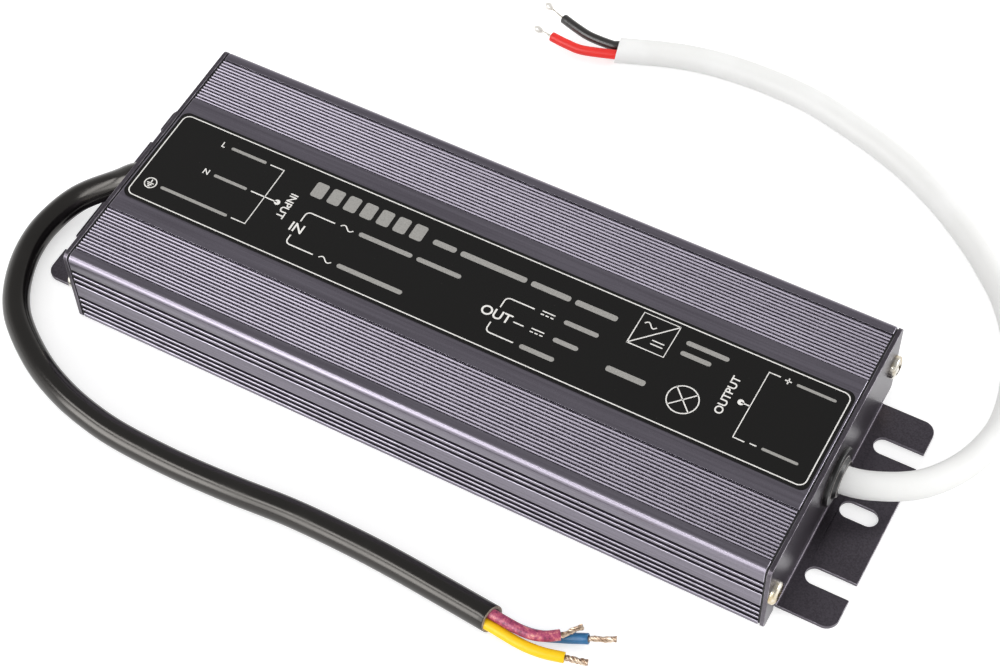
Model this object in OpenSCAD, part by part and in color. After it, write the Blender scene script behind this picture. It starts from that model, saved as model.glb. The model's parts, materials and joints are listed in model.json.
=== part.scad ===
// Weatherproof LED driver: an extruded aluminium tube with cooling ridges, closed at both ends by a folded
// plate with slotted mounting ears, with a mains lead at one end and a low-voltage lead at the other.
// The board inside carries a mains filter, a transformer stage and an output filter, set in potting compound.
// X runs along the tube from the mains end (-X) to the output end (+X). Z = 0 is the surface it stands on.

/* [Housing] */
// Length of the extruded tube
body_l = 175; // [165:1:200]
// Width across the sides of the tube
body_w = 70.5; // [66:0.5:80]
// Height of the tube
body_h = 24; // [22.5:0.1:28]
// Thickness of the tube's walls
wall = 2; // [1.7:0.1:2.4]
// Radius of the long upper edges
top_edge_r = 1.6; // [1:0.1:3]
// Radius of the long lower edges
low_edge_r = 1; // [0.5:0.1:2]

/* [Ridges and grooves] */
// Ridges in each of the two bands on top
ridge_count = 15; // [9:1:17]
// Distance from ridge to ridge
ridge_pitch = 0.9; // [0.7:0.025:0.95]
// Width of a ridge, whose crest is a roof of 45 degrees
ridge_w = 0.55; // [0.4:0.05:0.6]
// Height of a ridge above the valleys beside it
ridge_h = 0.5; // [0.35:0.05:0.6]
// Flat strip between the ridges and the side of the tube
edge_strip = 3.2; // [2.5:0.1:5]
// Width of a groove in the sides
groove_w = 1.2; // [0.5:0.1:1.4]
// Depth of a groove in the sides
groove_d = 1.1; // [0.4:0.1:1.2]
// Distance from groove to groove in the upper group
upper_groove_pitch = 2.1; // [1.8:0.05:2.3]
// Distance from groove to groove in the lower group
lower_groove_pitch = 1.95; // [1.8:0.05:2.1]
// Grooves in the upper group
upper_grooves = 3; // [1:1:3]
// Grooves in the lower group
lower_grooves = 4; // [1:1:4]
// Drop from the top of the tube to the highest groove
upper_groove_drop = 5.3; // [4:0.1:6]
// Rise from the base to the lowest groove
lower_groove_rise = 2.5; // [1.8:0.05:3]

/* [Rails and screw ports] */
// Depth of the rails that hold the board's edges
rail_d = 1.5; // [1:0.1:2]
// Thickness of a rail
rail_t = 1.2; // [0.8:0.1:1.6]
// Distance from the side of the tube to the middle of a screw port
port_inset = 2.9; // [2.8:0.1:3.5]
// Outer radius of a screw port
port_r = 2.9; // [2.4:0.1:3.2]

/* [End plates] */
// Thickness of the folded sheet
plate_t = 1; // [0.8:0.1:1.5]
// Inner radius of the fold
bend_r = 0.6; // [0.4:0.1:1.5]
// Reach of the ears beyond the face of the plate
ear_reach = 13.75; // [12.5:0.25:18]
// Width of the folded ears
ear_w = 58.6; // [50:0.2:62]
// Radius of the ears' outer corners
ear_corner_r = 3; // [1:0.5:5]
// Width of the relief notch beside the fold
relief_w = 0.8; // [0.5:0.1:1.5]
// Width of the mounting slots
slot_w = 4.4; // [4.2:0.1:5]
// Length of the closed slot in the middle, end to end
slot_l = 9; // [8:0.25:9.5]
// Distance from the face of the plate to the middle of the closed slot
slot_centre = 7; // [6.5:0.1:7.2]
// Distance from the middle to each open slot
open_slot_y = 18.75; // [12:0.25:22]
// Distance from the face of the plate to the root of an open slot
open_slot_root = 2.6; // [2:0.1:4]
// Thickness of the gasket behind a plate
gasket_t = 0.4; // [0.3:0.1:1]
// Margin between the gasket's edge and the plate's edge
gasket_inset = 0.3; // [0.1:0.1:0.6]

/* [Screws] */
// Diameter of the pan heads
screw_head_d = 5.6; // [5:0.1:5.8]
// Height of the pan heads
screw_head_h = 1.7; // [1.2:0.1:2.4]
// Fall of a pan head's dome from its middle to its rim
screw_dome = 0.9; // [0.6:0.1:1.1]
// Width of the cross recess in a head
recess_w = 0.95; // [0.8:0.05:1.2]
// Length of the cross recess in a head
recess_l = 3.4; // [3:0.1:4]
// Depth of the cross recess in a head
recess_d = 1.1; // [0.8:0.1:1.2]
// Diameter of the shanks
screw_d = 2.5; // [2.2:0.1:3]
// Length of the shanks under the head
screw_l = 9; // [6:0.5:14]
// Clearance between a shank and the holes that it passes
screw_gap = 0.4; // [0.2:0.1:0.6]

/* [Grommets and leads] */
// Height of both leads where they leave the end plates
cable_z = 12; // [11.5:0.1:13]
// Outer diameter of both leads
cable_d = 6.5; // [6:0.1:7]
// Diameter of a grommet's outer flange
grommet_d = 14.4; // [13.6:0.2:16]
// Thickness of a grommet's outer flange
grommet_h = 1.2; // [1:0.1:1.6]
// Edge radius of a grommet's outer flange
grommet_edge_r = 0.5; // [0.3:0.1:0.8]
// Diameter of the grommet's collar where it leaves the flange
collar_base_d = 10.4; // [9.6:0.2:11]
// Diameter of the grommet's collar at its end
collar_end_d = 8.6; // [8.2:0.2:9]
// Height of the collar's end over the plate
collar_h = 2.2; // [1.8:0.1:3]
// Diameter of the grommet's neck in the plate
grommet_neck_d = 11; // [10:0.2:12]
// Diameter of the grommet's inner flange
grommet_inner_d = 14; // [13:0.2:14.4]
// Thickness of the grommet's inner flange
grommet_inner_t = 1.5; // [1:0.1:2]
// Diameter of an insulated core
core_d = 2.5; // [2.2:0.1:2.7]
// Diameter of the twisted bare strands
strand_d = 1.5; // [1:0.1:1.7]

/* [Label] */
// Width of the label film
label_w = 27.8; // [20:0.2:30]
// Thickness of the label film
label_t = 0.2; // [0.1:0.05:0.4]
// Corner radius of the label film
label_corner_r = 2; // [1:0.5:4]
// Margin between the label's ends and the tube's ends
label_margin = 0.5; // [0.3:0.1:5]

/* [Circuit board] */
// Thickness of the board
board_t = 1.6; // [1:0.1:2]
// Height of the board's underside above the floor of the tube
board_lift = 2.4; // [2:0.1:3]
// Clearance at the long edges of the board
board_gap = 0.25; // [0.1:0.05:0.4]
// Distance from the tube's ends to the board's ends
board_end_gap = 3.5; // [3:0.5:6]
// Thickness of the insulating film on the floor
film_t = 0.4; // [0.2:0.1:0.8]
// Diameter of the component legs
leg_d = 0.8; // [0.6:0.1:1]
// Length of the legs below the board
leg_out = 1.2; // [0.8:0.1:1.5]

/* [Components] */
// Free space between the tallest components and the roof
part_gap = 0.6; // [0.4:0.1:1.5]
// Height of the gap under standing components
stand_off = 0.8; // [0.5:0.1:1.5]
// Height of the gap under components that sit low on the board
seat_gap = 0.3; // [0.2:0.1:0.5]
// Diameter of the fuse's glass
fuse_d = 5; // [4:0.1:6]
// Length of the fuse
fuse_l = 15; // [12:0.5:16]
// Diameter of the surge disc
surge_d = 10; // [8:0.5:11]
// Diameter of the inrush disc
inrush_d = 9; // [7:0.5:10]
// Diameter of the safety capacitor's disc
safety_d = 8; // [6:0.5:9]
// Thickness of the discs
disc_t = 4; // [3:0.5:5]
// Length of the box capacitor
box_cap_l = 17; // [14:0.5:18]
// Width of the box capacitor
box_cap_w = 8.5; // [7:0.5:10]
// Inner radius of a ring core
ring_in_r = 4.5; // [4:0.25:5]
// Outer radius of a ring core
ring_out_r = 8.5; // [7.5:0.25:9]
// Height of a ring core
ring_h = 7; // [6:0.25:8]
// Thickness of the wire wound on a ring core
winding_t = 1.1; // [0.8:0.1:1.4]
// Length of the bridge rectifier
bridge_l = 15; // [13:0.5:17]
// Height of the bridge rectifier
bridge_h = 11; // [9:0.5:12]
// Length of the storage capacitors
bulk_l = 20; // [16:0.5:21]
// Length of the transformer core
core_l = 32; // [28:0.5:34]
// Width of the transformer core
core_w = 29; // [26:0.5:30]
// Thickness of the transformer core
core_t = 8; // [6:0.5:9]
// Width of the transformer core's middle leg
core_leg_w = 8; // [7:0.5:9]
// Width of a power package
package_w = 10; // [9:0.2:10.4]
// Length of a power package
package_l = 15; // [13:0.5:16]
// Thickness of a power package
package_t = 4.4; // [4:0.2:4.8]
// Thickness of the thermal pads under the roof
pad_t = 0.5; // [0.3:0.1:1]
// Diameter of the output capacitors
out_cap_d = 10; // [8:0.5:11]
// Length of the controller chip
controller_l = 9.5; // [8:0.5:11]
// Length of the optocoupler
coupler_l = 4.6; // [4:0.2:6]

/* [Hidden] */
$fn = 48;
// Overrun of a cut past the face that it opens
over = 1;

// Cross-section of the tube
inner_half = body_w/2 - wall;
roof = body_h - wall;
port_y = body_w/2 - port_inset;
port_z = body_h/2;
// Clearance of a bore round the piece that it grips
bore_gap = 0.05;
bore_r = screw_d/2 + bore_gap;
free_half = port_y - port_r;
band_w = ridge_count*ridge_pitch;
band_y = body_w/2 - edge_strip - band_w/2;

// Board, its rails and the space above it
board_z = wall + board_lift;
deck = board_z + board_t;
board_l = body_l - 2*board_end_gap;
board_half = inner_half - board_gap;
seat = deck + seat_gap;
headroom = roof - seat - part_gap;

// End plates, measured outwards from the end of the tube
plate_face = gasket_t + plate_t;
fold = plate_t + bend_r;
cable_r = cable_d/2;
neck_r = grommet_neck_d/2;
neck_gap = 0.1;

// Board layout: columns along the tube and rows across it
columns = 7;
rows = 3;
column_pitch = board_l/columns;
row_pitch = 2*free_half/rows;
function col(i) = (i - (columns - 1)/2)*column_pitch;
function row(j) = j*row_pitch;

// Sizes of the components that follow from the space above the board
bulk_d = headroom;
winding_h = headroom;
ring_mid_r = (ring_in_r + ring_out_r)/2;
ring_z = seat + winding_t + ring_h/2;

// Small details of the components
case_r = 0.5;
fuse_cap_d = fuse_d + 0.4;
fuse_cap_l = fuse_l/5;
bridge_w = 4;
tail_l = 2;
package_gap = 1;
packages_w = 2*package_w + package_gap;
tab_t = 1.3;
tab_l = 6;
tab_hole_d = 3.6;
core_end = 5.25;
outer_leg_w = 2.6;
bobbin_gap = 0.3;
window_l = core_l - 2*core_end;
window_w = (core_w - core_leg_w)/2 - outer_leg_w;
chip_w = 6.4;
chip_h = 3.4;
chip_gap = 1.5;
wire_d = 1.8;
wire_run = 4;
wire_spread = 2;

// Where a winding starts round its ring, and how far the windings of the choke and the inductor go
start_angle = 30;
choke_angle = 120;
inductor_angle = 300;
// How far a winding's legs stand from its ends
leg_angle = 20;

// Places of the components on the board
fuse_place = [col(0.1), row(-1)];
inrush_place = [col(0.25), row(0)];
surge_place = [col(0.25), row(1)];
box_cap_place = [col(1), row(-1)];
choke_place = [col(1), row(0.5)];
bridge_place = [col(2), row(1)];
bulk_places = [[col(2), row(-1)], [col(2), row(0)]];
switch_place = [col(3), row(1)];
rectifier_place = [col(4.2), row(1)];
transformer_place = [col(3.5), row(-0.55)];
inductor_place = [col(5), row(0)];
safety_place = [col(5), row(-1.1)];
out_cap_places = [for (j = [-1, 0, 1]) [col(5.9), row(j)]];
coupler_place = rectifier_place + [packages_w/2 + chip_gap + coupler_l/2, 0];
controller_place = coupler_place + [coupler_l/2 + chip_gap + controller_l/2, 0];

// Line of the mains lead from the tube's end: out of the grommet, down to the floor and round to the front
input_line = [
  [5.5, 0, cable_z], [-4.5, 0, cable_z], [-10.5, -3, 9], [-18, -9.5, 6], [-21.5, -18, 4], [-21.5, -26, 3.3],
  [-19, -34, 3.3], [-15, -41, 3.3], [-9.5, -46.5, 3.3], [-0.5, -52.5, 3.3], [8.5, -56.5, 3.3],
  [17.5, -59, 3.3], [27.5, -60.5, 3.3], [42.5, -61, 3.3], [57.5, -60.5, 3.3], [72.5, -59.5, 3.3],
  [87.5, -59.5, 3.3], [99.5, -60, 3.3], [112.5, -61, 3.3], [124.5, -62, 3.3]
];
// Line of the output lead from the tube's end: out of the grommet, down to the floor and round to the back
output_line = [
  [-5.5, 0, cable_z], [4.5, 0, cable_z], [11.5, 2.5, 11.5], [18, 7, 10.5], [22.5, 13, 9], [26, 21, 7],
  [28, 30, 5.3], [28, 38, 4.2], [26.5, 46, 3.6], [24, 54, 3.3], [20.5, 61, 3.3], [15.5, 68, 3.3],
  [9.5, 74, 3.3], [2.5, 80, 3.3], [-7.5, 87, 3.3], [-17.5, 92.5, 3.3], [-27.5, 96.5, 3.3],
  [-37.5, 99.5, 3.3], [-47.5, 102, 3.3], [-57.5, 103, 3.3], [-67.5, 103, 3.3], [-77.5, 102, 3.3],
  [-87.5, 99.5, 3.3], [-99.5, 95, 3.3]
];
input_route = moved(input_line, [-body_l/2, 0, 0]);
output_route = moved(output_line, [body_l/2, 0, 0]);
cable_sides = 12;
core_sides = 8;
core_start = 1.5;
input_end = input_route[len(input_route) - 1];
input_way = way(input_route, len(input_route) - 1);
output_end = output_route[len(output_route) - 1];
output_way = way(output_route, len(output_route) - 1);

// Free ends of the cores and of their bare strands, measured from the end of the lead
brown_path = core_path(input_end, input_way, 0.5, 1.3, [[8, 0, 1.3], [12, 1, 1.3], [15, 3, 1.2]]);
blue_path = core_path(input_end, input_way, 1.2, -1.2, [[9, 1.6, -1.5], [15, 3.8, -1.5], [20.5, 5.6, -0.1]]);
yellow_path = core_path(input_end, input_way, -1.6, 0, [[8, -2.3, -0.1], [13, -2, -0.1], [18.5, -0.7, -0.1]]);
red_path = core_path(output_end, output_way, 1.5, 0, [[-8, -4, -0.1], [-12.5, -4, -0.1], [-17, -3.5, -0.1]]);
black_path = core_path(output_end, output_way, -1.5, 0, [[-8, 0.8, 0.1], [-12.5, 1.8, 0.1], [-17, 3.2, 0.1]]);
brown_tip = input_end + [18.4, 6.9, 1.5];
blue_tip = input_end + [26, 7.8, 0.7];
yellow_tip = input_end + [23.5, 0.5, -0.1];
red_tip = output_end + [-22.5, -2.7, -0.1];
black_tip = output_end + [-23.5, 5.6, 0.1];

function unit(v) = v/norm(v);
function way(p, i) = unit(p[min(i + 1, len(p) - 1)] - p[max(i - 1, 0)]);
function beside(d) = norm([d[0], d[1]]) < 0.001 ? [0, 1, 0] : unit(cross([0, 0, 1], d));
function moved(points, by) = [for (p = points) p + by];
function core_path(end, d, side, up, rest) =
  let (root = end + side*beside(d) + [0, 0, up])
  concat([root, root + core_start*d], moved(rest, end));
function ring(p, d, r, n) =
  let (s = beside(d), u = cross(d, s))
  [for (k = [0:n - 1]) let (a = 360*(k + 0.5)/n) p + r*cos(a)*s + r*sin(a)*u];

// Plain tube swept along a list of points
module tube(p, r, n) {
  last = len(p) - 1;
  points = [for (i = [0:last]) each ring(p[i], way(p, i), r, n)];
  walls = [
    for (i = [0:last - 1]) for (k = [0:n - 1])
      let (a = i*n + k, b = i*n + (k + 1) % n)
      each [[a, a + n, b + n], [a, b + n, b]]
  ];
  start_cap = [for (k = [0:n - 1]) k];
  end_cap = [for (k = [n - 1:-1:0]) last*n + k];
  polyhedron(points, concat([start_cap], walls, [end_cap]));
}

// Flat shape of a rectangle with rounded corners, centred
module rounded(l, w, r) {
  square([l - 2*r, w], center = true);
  square([l, w - 2*r], center = true);
  for (x = [-1, 1], y = [-1, 1]) translate([x*(l/2 - r), y*(w/2 - r)]) circle(r);
}

// Solid block with rounded upright edges, standing on z = 0
module block(l, w, h, r) {
  linear_extrude(h) rounded(l, w, r);
}

// Turns a flat shape, drawn as width and height, into a bar along X
module along_x(l) {
  rotate([90, 0, 90]) linear_extrude(l, center = true) children();
}

// Places a piece at an end of the tube, where x = 0 is the tube's end face and +x points outwards
module at_end(side) {
  mirror([side < 0 ? 1 : 0, 0, 0]) translate([body_l/2, 0, 0]) children();
}

// Outline of the tube and of the plates, seen along X
module outline(inset) {
  w = body_w - 2*inset;
  h = body_h - inset;
  translate([-w/2, low_edge_r]) square([w, h - low_edge_r - top_edge_r]);
  translate([-w/2 + top_edge_r, inset]) square([w - 2*top_edge_r, h - inset]);
  translate([-w/2 + low_edge_r, inset]) square([w - 2*low_edge_r, h/2]);
  for (s = [-1, 1]) {
    translate([s*(w/2 - top_edge_r), h - top_edge_r]) circle(top_edge_r);
    translate([s*(w/2 - low_edge_r), low_edge_r + inset]) circle(low_edge_r);
  }
}

// Room between the ridges of both bands on top
module ridge_valleys() {
  valley_w = ridge_pitch - ridge_w;
  crest_h = ridge_w/2;
  ridge = [[-ridge_w/2, -over], [-ridge_w/2, ridge_h - crest_h], [0, ridge_h],
    [ridge_w/2, ridge_h - crest_h], [ridge_w/2, -over]];
  for (s = [-1, 1]) translate([s*band_y, body_h - ridge_h]) difference() {
    translate([-(band_w + valley_w)/2, 0]) square([band_w + valley_w, ridge_h + over]);
    for (i = [0:ridge_count - 1]) translate([(i - (ridge_count - 1)/2)*ridge_pitch, 0]) polygon(ridge);
  }
}

// Grooves along both sides
module side_grooves() {
  upper = [for (i = [0:upper_grooves - 1]) body_h - upper_groove_drop - i*upper_groove_pitch];
  lower = [for (i = [0:lower_grooves - 1]) lower_groove_rise + i*lower_groove_pitch];
  for (s = [-1, 1], z = concat(upper, lower))
    translate([s*(body_w/2 - groove_d/2 + over/2), z]) square([groove_d + over, groove_w], center = true);
}

// Rails above and below each long edge of the board
module rails() {
  for (s = [-1, 1], z = [board_z - rail_t/2, deck + rail_t/2])
    translate([s*(inner_half - rail_d/2 + over/2), z]) square([rail_d + over, rail_t], center = true);
}

// Hollow of the tube, with the rails and the screw ports standing into it
module cavity() {
  difference() {
    translate([-inner_half, wall]) square([2*inner_half, roof - wall]);
    rails();
    for (s = [-1, 1]) translate([s*port_y, port_z]) circle(port_r);
  }
}

module housing() {
  color("#5d5863") along_x(body_l) difference() {
    outline(0);
    ridge_valleys();
    side_grooves();
    cavity();
    for (s = [-1, 1]) translate([s*port_y, port_z]) circle(bore_r);
  }
}

// Holes for the screws and the grommet, seen along X
module plate_holes() {
  for (s = [-1, 1]) translate([s*port_y, port_z]) circle(screw_d/2 + screw_gap);
  translate([0, cable_z]) circle(neck_r + neck_gap);
}

// Section of the fold between the plate and the ears, drawn as outward reach and height
module fold_section() {
  intersection() {
    translate([fold, fold]) difference() {
      circle(fold);
      circle(bend_r);
    }
    square(fold);
  }
}

// Mounting slots of one end, as reach from the plate's face and offset from the middle
module ear_slots() {
  round_at = (slot_l - slot_w)/2;
  translate([slot_centre, 0]) {
    square([2*round_at, slot_w], center = true);
    for (s = [-1, 1]) translate([s*round_at, 0]) circle(slot_w/2);
  }
  for (s = [-1, 1]) translate([open_slot_root + slot_w/2, s*open_slot_y]) {
    circle(slot_w/2);
    translate([0, -slot_w/2]) square([ear_reach, slot_w]);
  }
}

// Plate with its ears, standing outwards from the tube's end
module end_plate() {
  relief_h = fold + relief_w/2;
  translate([gasket_t, 0, 0]) {
    difference() {
      translate([plate_t/2, 0, 0]) along_x(plate_t) difference() {
        outline(0);
        plate_holes();
      }
      translate([-over, -ear_w/2 - relief_w, -over])
        cube([plate_t + 2*over, ear_w + 2*relief_w, fold + over]);
      for (s = [-1, 1]) translate([-over, s*(ear_w + relief_w)/2 - relief_w/2, -over])
        cube([plate_t + 2*over, relief_w, relief_h + over]);
    }
    rotate([90, 0, 0]) linear_extrude(ear_w, center = true) fold_section();
    linear_extrude(plate_t) difference() {
      intersection() {
        translate([fold, -ear_w/2]) square([ear_reach - bend_r, ear_w]);
        translate([plate_t + ear_reach/2 - ear_corner_r, 0])
          rounded(ear_reach + 2*ear_corner_r, ear_w, ear_corner_r);
      }
      translate([plate_t, 0]) ear_slots();
    }
  }
}

module input_end_plate() {
  color("#454147") at_end(-1) end_plate();
}

module output_end_plate() {
  color("#454147") at_end(1) end_plate();
}

// Thin sheet between a plate and the tube
module gasket() {
  translate([gasket_t/2, 0, 0]) along_x(gasket_t) difference() {
    outline(gasket_inset);
    plate_holes();
  }
}

module input_gasket() {
  color("#1c1b1c") at_end(-1) gasket();
}

module output_gasket() {
  color("#1c1b1c") at_end(1) gasket();
}

// Pan-head screw with a cross recess, its shank along -X and its head on x = 0
module pan_screw() {
  head_r = screw_head_d/2;
  dome_r = (head_r*head_r + screw_dome*screw_dome)/(2*screw_dome);
  rotate([0, 90, 0]) {
    translate([0, 0, -screw_l]) cylinder(r = screw_d/2, h = screw_l);
    difference() {
      intersection() {
        cylinder(r = head_r, h = screw_head_h);
        translate([0, 0, screw_head_h - dome_r]) sphere(dome_r);
      }
      for (a = [0, 90]) rotate(a) translate([0, 0, screw_head_h + over/2 - recess_d/2])
        cube([recess_l, recess_w, recess_d + over], center = true);
    }
  }
}

module end_screws() {
  color("#b9b3a4") for (side = [-1, 1], s = [-1, 1])
    at_end(side) translate([plate_face, s*port_y, port_z]) pan_screw();
}

// Rubber grommet that seals a lead in its plate
module grommet() {
  outer_r = grommet_d/2;
  edge = grommet_edge_r;
  translate([0, 0, cable_z]) rotate([0, 90, 0]) rotate_extrude() difference() {
    union() {
      translate([0, -grommet_inner_t]) square([grommet_inner_d/2, grommet_inner_t]);
      square([neck_r, plate_face]);
      translate([0, plate_face]) square([outer_r, grommet_h - edge]);
      translate([0, plate_face]) square([outer_r - edge, grommet_h]);
      translate([outer_r - edge, plate_face + grommet_h - edge]) circle(edge);
      translate([0, plate_face]) polygon([
        [0, 0], [collar_base_d/2, 0], [collar_base_d/2, grommet_h], [collar_end_d/2, collar_h], [0, collar_h]
      ]);
    }
    translate([0, -over - grommet_inner_t])
      square([cable_r + bore_gap, plate_face + collar_h + grommet_inner_t + 2*over]);
  }
}

module input_grommet() {
  color("#161616") at_end(-1) grommet();
}

module output_grommet() {
  color("#161616") at_end(1) grommet();
}

module rating_label() {
  color("#171615") translate([0, 0, body_h])
    block(body_l - 2*label_margin, label_w, label_t, label_corner_r);
}

module input_cable() {
  color("#1d1c1c") tube(input_route, cable_r, cable_sides);
}

module output_cable() {
  color("#f1f1ef") tube(output_route, cable_r, cable_sides);
}

module brown_core() {
  color("#a8505e") tube(brown_path, core_d/2, core_sides);
}

module blue_core() {
  color("#3f7fb0") tube(blue_path, core_d/2, core_sides);
}

module yellow_core() {
  color("#f6c400") tube(yellow_path, core_d/2, core_sides);
}

module red_core() {
  color("#e0322c") tube(red_path, core_d/2, core_sides);
}

module black_core() {
  color("#232323") tube(black_path, core_d/2, core_sides);
}

// Bare strands that carry on from the end of a core
module strands(path, tip) {
  last = len(path) - 1;
  tube([path[last], path[last] + way(path, last), tip], strand_d/2, core_sides);
}

module input_strands() {
  color("#b59a80") {
    strands(brown_path, brown_tip);
    strands(blue_path, blue_tip);
    strands(yellow_path, yellow_tip);
  }
}

module output_strands() {
  color("#b8b2a8") {
    strands(red_path, red_tip);
    strands(black_path, black_tip);
  }
}

module insulating_film() {
  color("#d8d4c2") translate([0, 0, wall + film_t/2])
    cube([body_l, 2*inner_half, film_t], center = true);
}

// Legs that pass through the board from a component's underside
module legs(places, top) {
  foot = board_z - leg_out;
  for (p = places) translate([p[0], p[1], foot]) cylinder(d = leg_d, h = top - foot);
}

// Wire that runs level along X from one place, then turns down through the board
module bent_wire(from, run, d) {
  reach = abs(run);
  drop = from[2] - board_z + leg_out;
  translate(from) mirror([run < 0 ? 1 : 0, 0, 0])
    tube([[0, 0, 0], [reach - d, 0, 0], [reach, 0, -d], [reach, 0, -drop]], d/2, core_sides);
}

// Inner tails of both leads, from the end of the lead to the board
module input_wires() {
  color("#7c4a3a") for (s = [-1, 0, 1]) bent_wire(input_route[0] + [0, s*wire_spread, 0], wire_run, wire_d);
}

module output_wires() {
  color("#9a3a36") for (s = [-1, 1]) bent_wire(output_route[0] + [0, s*wire_spread, 0], -wire_run, wire_d);
}

// Round capacitor can along Z, with a crimp near its base and a rounded top
module can(d, h) {
  r = d/2;
  edge = d/16;
  crimp = d/30;
  crimp_z = h/8;
  rotate_extrude() difference() {
    union() {
      square([r, h - edge]);
      square([r - edge, h]);
      translate([r - edge, h - edge]) circle(edge);
    }
    translate([r, crimp_z]) circle(2*crimp);
  }
}

// Coated disc that stands on edge across Y, with two legs
module standing_disc(place, d) {
  centre_z = deck + stand_off + d/2;
  round_r = disc_t/2;
  translate([place[0], place[1] + round_r, centre_z]) rotate([90, 0, 0]) rotate_extrude() {
    square([d/2 - round_r, disc_t]);
    intersection() {
      translate([d/2 - round_r, round_r]) circle(round_r);
      square([d/2, disc_t]);
    }
  }
  legs([for (s = [-1, 1]) place + [s*d/4, 0]], centre_z);
}

module fuse() {
  axis_z = seat + fuse_cap_d/2;
  color("#cfd6d2") translate([fuse_place[0], fuse_place[1], axis_z]) rotate([0, 90, 0]) {
    cylinder(d = fuse_d, h = fuse_l, center = true);
    for (s = [-1, 1]) translate([0, 0, s*(fuse_l - fuse_cap_l)/2])
      cylinder(d = fuse_cap_d, h = fuse_cap_l, center = true);
  }
  color("#cfd6d2") for (s = [-1, 1])
    bent_wire([fuse_place[0] + s*fuse_l/2, fuse_place[1], axis_z], s*tail_l, leg_d);
}

module inrush_thermistor() {
  color("#2f4a3c") standing_disc(inrush_place, inrush_d);
}

module surge_varistor() {
  color("#2d5f9a") standing_disc(surge_place, surge_d);
}

module filter_capacitor() {
  leg_x = box_cap_l/2 - 2*leg_d;
  color("#c9b23a") {
    translate([box_cap_place[0], box_cap_place[1], seat]) block(box_cap_l, box_cap_w, headroom, case_r);
    legs([for (s = [-1, 1]) box_cap_place + [s*leg_x, 0]], seat + leg_d);
  }
}

// Section of a ring core, or of its winding when grown
module ring_section(grow) {
  translate([ring_in_r - grow, -ring_h/2 - grow]) square([ring_out_r - ring_in_r + 2*grow, ring_h + 2*grow]);
}

module ring_core(place) {
  translate([place[0], place[1], ring_z]) rotate_extrude() ring_section(0);
}

// Wound sector of a ring, core and all, with a leg near each of its ends
module wound_sector(place, start, arc) {
  translate([place[0], place[1], ring_z]) rotate(start) rotate_extrude(angle = arc) ring_section(winding_t);
  legs([for (a = [start + leg_angle, start + arc - leg_angle])
    place + ring_mid_r*[cos(a), sin(a)]], seat + winding_t/2);
}

module choke_sectors() {
  for (a = [0, 180]) wound_sector(choke_place, start_angle + a, choke_angle);
}

module inductor_sector() {
  wound_sector(inductor_place, start_angle, inductor_angle);
}

module choke_core() {
  color("#3a5f4a") ring_core(choke_place);
}

module choke_windings() {
  color("#b5642c") difference() {
    choke_sectors();
    choke_core();
  }
}

module inductor_core() {
  color("#c7b04a") ring_core(inductor_place);
}

module inductor_winding() {
  color("#b5642c") difference() {
    inductor_sector();
    inductor_core();
  }
}

module bridge_rectifier() {
  leg_pitch = bridge_l/4;
  foot = deck + stand_off;
  color("#1f1f21") {
    translate([bridge_place[0], bridge_place[1], foot]) block(bridge_l, bridge_w, bridge_h, case_r);
    legs([for (i = [-1.5:1:1.5]) bridge_place + [i*leg_pitch, 0]], foot + leg_d);
  }
}

module storage_capacitors() {
  color("#232b45") for (place = bulk_places) {
    foot = [place[0] - bulk_l/2, place[1], seat + bulk_d/2];
    translate(foot) rotate([0, 90, 0]) can(bulk_d, bulk_l);
    for (s = [-1, 1]) bent_wire(foot + [0, s*bulk_d/4, 0], -tail_l, leg_d);
  }
}

// Two flat power packages side by side, their metal tabs on top
module power_packages(place) {
  pitch = package_w + package_gap;
  case_l = package_l - tab_l;
  for (s = [-0.5, 0.5]) translate([place[0] + s*pitch, place[1], seat]) {
    translate([-package_w/2, -package_l/2, 0]) cube([package_w, case_l, package_t - tab_t]);
    translate([0, 0, package_t - tab_t]) difference() {
      translate([-package_w/2, -package_l/2, 0]) cube([package_w, package_l, tab_t]);
      translate([0, (package_l - tab_l)/2, -over]) cylinder(d = tab_hole_d, h = tab_t + 2*over);
    }
  }
  legs([for (s = [-0.5, 0.5], i = [-1, 0, 1])
    place + [s*pitch + i*package_w/4, 2*leg_d - package_l/2]], seat + leg_d);
}

// Aluminium block that carries the heat of two packages up to the roof
module heat_block(place) {
  foot = seat + package_t;
  translate([place[0], place[1], foot]) block(packages_w, package_l, roof - pad_t - foot, case_r);
}

// Room that a heat block and its pad take, up through the roof
module heat_column(place) {
  foot = seat + package_t;
  translate([place[0], place[1], foot]) block(packages_w, package_l, roof + over - foot, case_r);
}

module thermal_pad(place) {
  translate([place[0], place[1], roof - pad_t]) block(packages_w, package_l, pad_t, case_r);
}

module switching_transistors() {
  color("#2a2a2c") power_packages(switch_place);
}

module primary_heat_block() {
  color("#b9bcc0") heat_block(switch_place);
}

module primary_thermal_pad() {
  color("#8fa6b8") thermal_pad(switch_place);
}

module output_rectifiers() {
  color("#2a2a2c") power_packages(rectifier_place);
}

module secondary_heat_block() {
  color("#b9bcc0") heat_block(rectifier_place);
}

module secondary_thermal_pad() {
  color("#8fa6b8") thermal_pad(rectifier_place);
}

// Flat double-E core with a window on each side of its middle leg
module transformer_core() {
  foot = seat + (winding_h - core_t)/2;
  window_y = (core_leg_w + window_w)/2;
  color("#3b3b3d") translate([transformer_place[0], transformer_place[1], foot])
    linear_extrude(core_t) difference() {
      square([core_l, core_w], center = true);
      for (s = [-1, 1]) translate([0, s*window_y]) square([window_l, window_w], center = true);
    }
}

// Wound middle of the transformer, with its legs
module wound_block() {
  winding_l = window_l - 2*bobbin_gap;
  winding_w = core_leg_w + 2*window_w - 2*bobbin_gap;
  leg_x = winding_l/2 - leg_d;
  translate([transformer_place[0], transformer_place[1], seat + winding_h/2])
    along_x(winding_l) rounded(winding_w, winding_h, winding_h/6);
  legs([for (s = [-1, 1], i = [-1.5:1:1.5]) transformer_place + [s*leg_x, i*core_leg_w/2]], seat + leg_d);
}

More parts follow.
